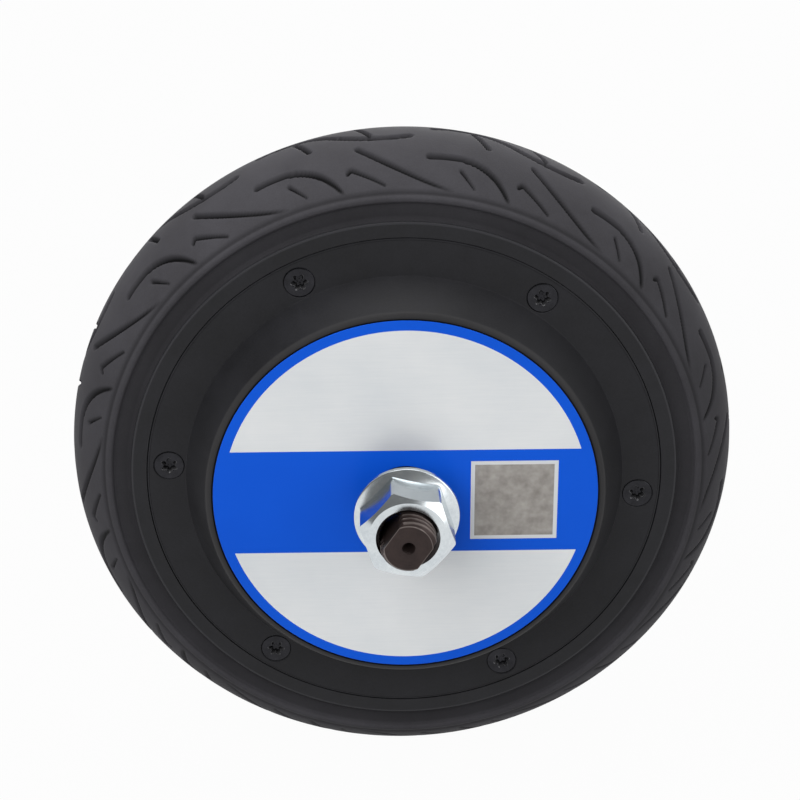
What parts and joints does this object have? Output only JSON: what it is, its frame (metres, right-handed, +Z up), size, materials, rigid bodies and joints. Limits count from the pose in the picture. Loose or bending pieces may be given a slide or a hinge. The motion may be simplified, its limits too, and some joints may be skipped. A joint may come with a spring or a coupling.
{
  "type": "agv drive wheel unit",
  "caption": "Hub motor drive wheel: grooved solid tyre on a rim that turns round a fixed threaded axle, with a direct-drive motor and encoder inside the covers.",
  "frame": {"origin": "on the axle's axis, in the middle plane of the tyre and midway between the two axle ends", "axes": "+Y along the axle away from the name plate, +Z up with the wheel standing, +X to the right seen from the name plate"},
  "size_m": [0.173, 0.1164, 0.173],
  "materials": {
    "dark_steel": "oiled black-brown oxide on turned steel",
    "zinc_steel": "bright zinc plate",
    "bare_aluminium": "machined",
    "bearing_steel": "ground",
    "sheet_steel": "stamped electrical sheet",
    "insulator_nylon": "moulded natural nylon",
    "copper_wire": "enamelled copper wire",
    "circuit_board": "green solder mask",
    "chip_plastic": "moulded epoxy",
    "brass": "turned brass",
    "black_rubber": "moulded nitrile rubber",
    "tyre_rubber": "moulded solid rubber, matt",
    "black_aluminium": "fine black powder coat on die-cast aluminium",
    "magnet_nickel": "nickel plate",
    "screw_steel": "black zinc plate",
    "plate_film": "printed silver film with blue ring and band, no lettering",
    "disc_steel": "etched stainless sheet"
  },
  "bodies": {
    "axle": {"axle": "dark_steel", "front_axle_nut": "zinc_steel", "rear_axle_nut": "zinc_steel", "stator_hub": "bare_aluminium", "stator_key": "bearing_steel", "stator_circlips": "dark_steel", "stator_core": "sheet_steel", "front_slot_insulator": "insulator_nylon", "rear_slot_insulator": "insulator_nylon", "windings": "copper_wire", "hall_board": "circuit_board", "hall_sensors": "chip_plastic", "encoder_board": "circuit_board", "encoder_posts": "brass", "encoder_board_screws": "bearing_steel", "encoder_reader": "chip_plastic", "front_bearing_inner": "bearing_steel", "rear_bearing_inner": "bearing_steel", "lead_grommet": "black_rubber"},
    "wheel": {"tyre": "tyre_rubber", "rim": "black_aluminium", "back_iron_ring": "sheet_steel", "magnets": "magnet_nickel", "front_cover": "black_aluminium", "rear_cover": "black_aluminium", "front_cover_screws": "screw_steel", "rear_cover_screws": "screw_steel", "front_gasket": "black_rubber", "rear_gasket": "black_rubber", "name_plate": "plate_film", "front_oil_seal": "black_rubber", "rear_oil_seal": "black_rubber", "front_bearing_outer": "bearing_steel", "rear_bearing_outer": "bearing_steel", "code_disc": "disc_steel", "code_disc_ring": "bare_aluminium"},
    "front_cage": {"front_bearing_cage": "brass", "front_bearing_balls": "bearing_steel"},
    "rear_cage": {"rear_bearing_cage": "brass", "rear_bearing_balls": "bearing_steel"}
  },
  "joints": [
    {"name": "wheel_spin", "type": "hinge", "parent": "axle", "child": "wheel", "pos_m": [0, 0, 0], "axis": [0, 1, 0], "continuous": true},
    {"name": "front_cage_spin", "type": "hinge", "parent": "axle", "child": "front_cage", "pos_m": [0, 0, 0], "axis": [0, 1, 0], "continuous": true},
    {"name": "rear_cage_spin", "type": "hinge", "parent": "axle", "child": "rear_cage", "pos_m": [0, 0, 0], "axis": [0, 1, 0], "continuous": true}
  ],
  "couplings": [
    {"joint": "front_cage_spin", "follows": "wheel_spin", "ratio": 0.5904},
    {"joint": "rear_cage_spin", "follows": "wheel_spin", "ratio": 0.5904}
  ]
}
